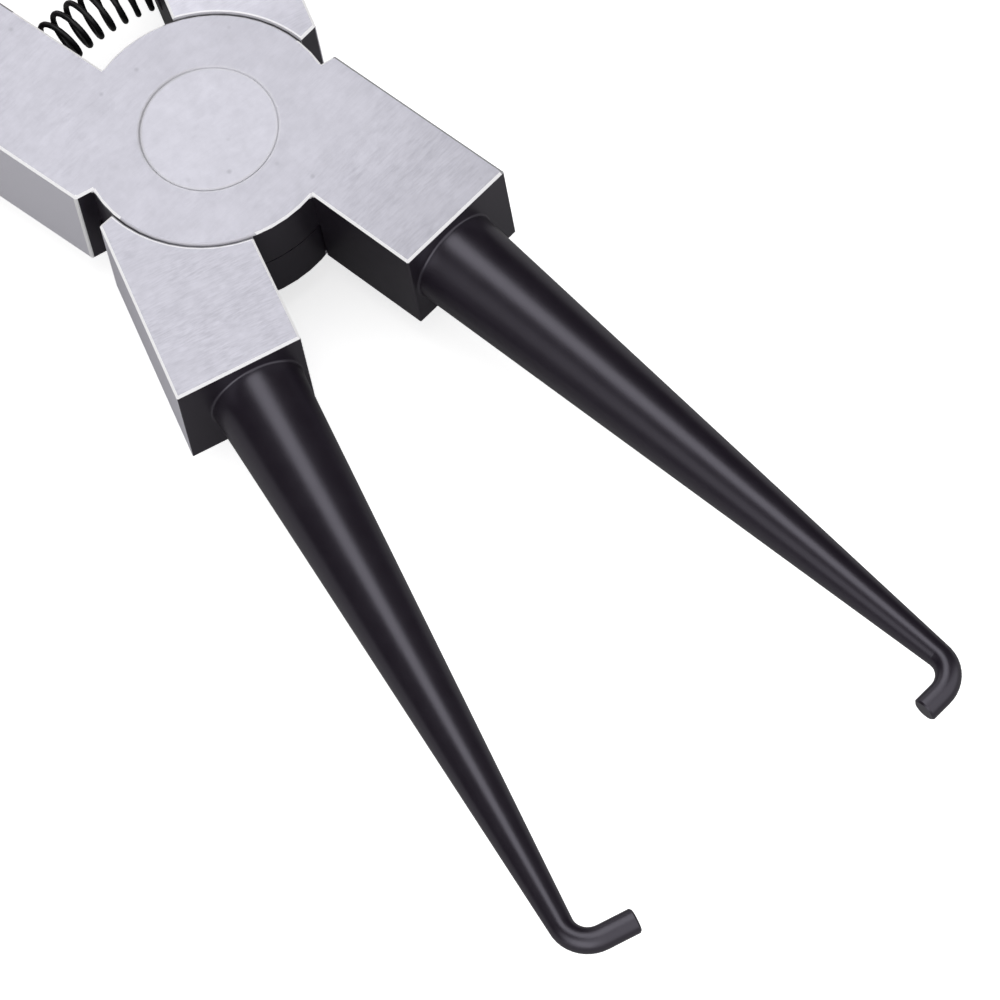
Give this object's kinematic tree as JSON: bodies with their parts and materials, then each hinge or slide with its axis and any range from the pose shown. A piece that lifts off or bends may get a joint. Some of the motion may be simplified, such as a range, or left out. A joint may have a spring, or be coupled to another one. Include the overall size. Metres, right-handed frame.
{
  "type": "fuel line pliers",
  "caption": "Crossed half-lap pliers with long tapered round jaws ending in square-turned inward hooks, held open by a coil spring, for releasing fuel line connectors.",
  "frame": {"origin": "pivot axis at the underside of the head", "axes": "+X along the tool towards the hook tips, halfway between the jaws; +Z along the pivot axis, towards the side that shows the front lever's disc"},
  "size_m": [0.2273, 0.098, 0.0164],
  "materials": {
    "forged_steel": "ground bright on the flat upper and lower faces, black on the jaws and inner sides",
    "rivet_steel": "ground flush, smooth",
    "spring_steel": "black spring wire",
    "grip_shell": "satin moulded shell",
    "grip_pad": "soft, fine ribbed"
  },
  "bodies": {
    "front": {"front_lever": "forged_steel", "pivot_rivet": "rivet_steel", "return_spring": "spring_steel", "front_grip_core": "grip_shell", "front_grip_outer_pad": "grip_pad", "front_grip_inner_pad": "grip_pad"},
    "rear": {"rear_lever": "forged_steel", "rear_grip_core": "grip_shell", "rear_grip_outer_pad": "grip_pad", "rear_grip_inner_pad": "grip_pad"}
  },
  "joints": [
    {"name": "lever_pivot", "type": "hinge", "parent": "front", "child": "rear", "pos_m": [0, 0, 0], "axis": [0, 0, 1], "range_deg": [-14.5, 21], "stiffness_Nm_per_rad": 0.51, "deforming": ["return_spring"]}
  ]
}
